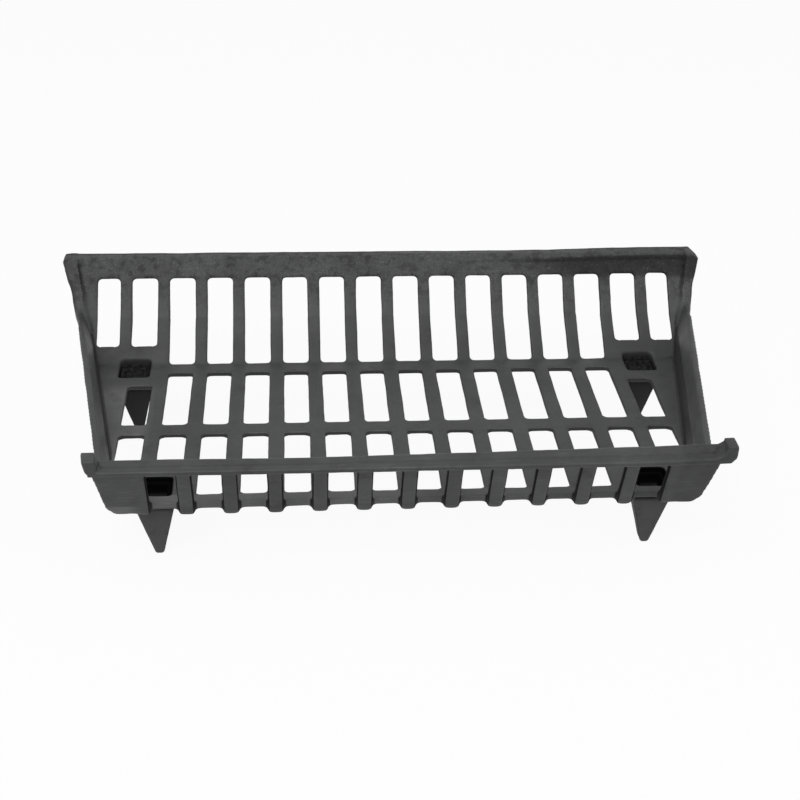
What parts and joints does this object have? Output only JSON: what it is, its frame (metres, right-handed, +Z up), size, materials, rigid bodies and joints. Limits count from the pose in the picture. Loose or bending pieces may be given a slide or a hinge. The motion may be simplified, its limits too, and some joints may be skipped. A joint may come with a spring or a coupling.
{
  "type": "log grate",
  "caption": "Cast-iron fireplace log grate: slotted floor, sloping slotted back, low barred front with rolled rim and ears, flared sides, on slip-in wedge legs.",
  "frame": {"origin": "on the hearth, under the middle of the whole grate's width and depth", "axes": "+X to the right seen from the front, +Y to the high sloping back, +Z up; -Y is the low barred front"},
  "size_m": [0.682, 0.3814, 0.1489],
  "materials": {
    "grate_iron": "sand-cast iron under thin satin black stove paint",
    "leg_iron": "sand-cast iron under thin satin black stove paint, bare and sooty on the tang's rim"
  },
  "bodies": {
    "grate": {"grate_casting": "grate_iron"},
    "front_left_leg": {"front_left_leg": "leg_iron"},
    "front_right_leg": {"front_right_leg": "leg_iron"},
    "rear_left_leg": {"rear_left_leg": "leg_iron"},
    "rear_right_leg": {"rear_right_leg": "leg_iron"}
  },
  "joints": [
    {"name": "front_left_leg_slide", "type": "slide", "parent": "grate", "child": "front_left_leg", "axis": [0, 0, 1], "range_m": [-0.02, 0]},
    {"name": "front_right_leg_slide", "type": "slide", "parent": "grate", "child": "front_right_leg", "axis": [0, 0, 1], "range_m": [-0.02, 0]},
    {"name": "rear_left_leg_slide", "type": "slide", "parent": "grate", "child": "rear_left_leg", "axis": [0, 0, 1], "range_m": [-0.02, 0]},
    {"name": "rear_right_leg_slide", "type": "slide", "parent": "grate", "child": "rear_right_leg", "axis": [0, 0, 1], "range_m": [-0.02, 0]}
  ]
}
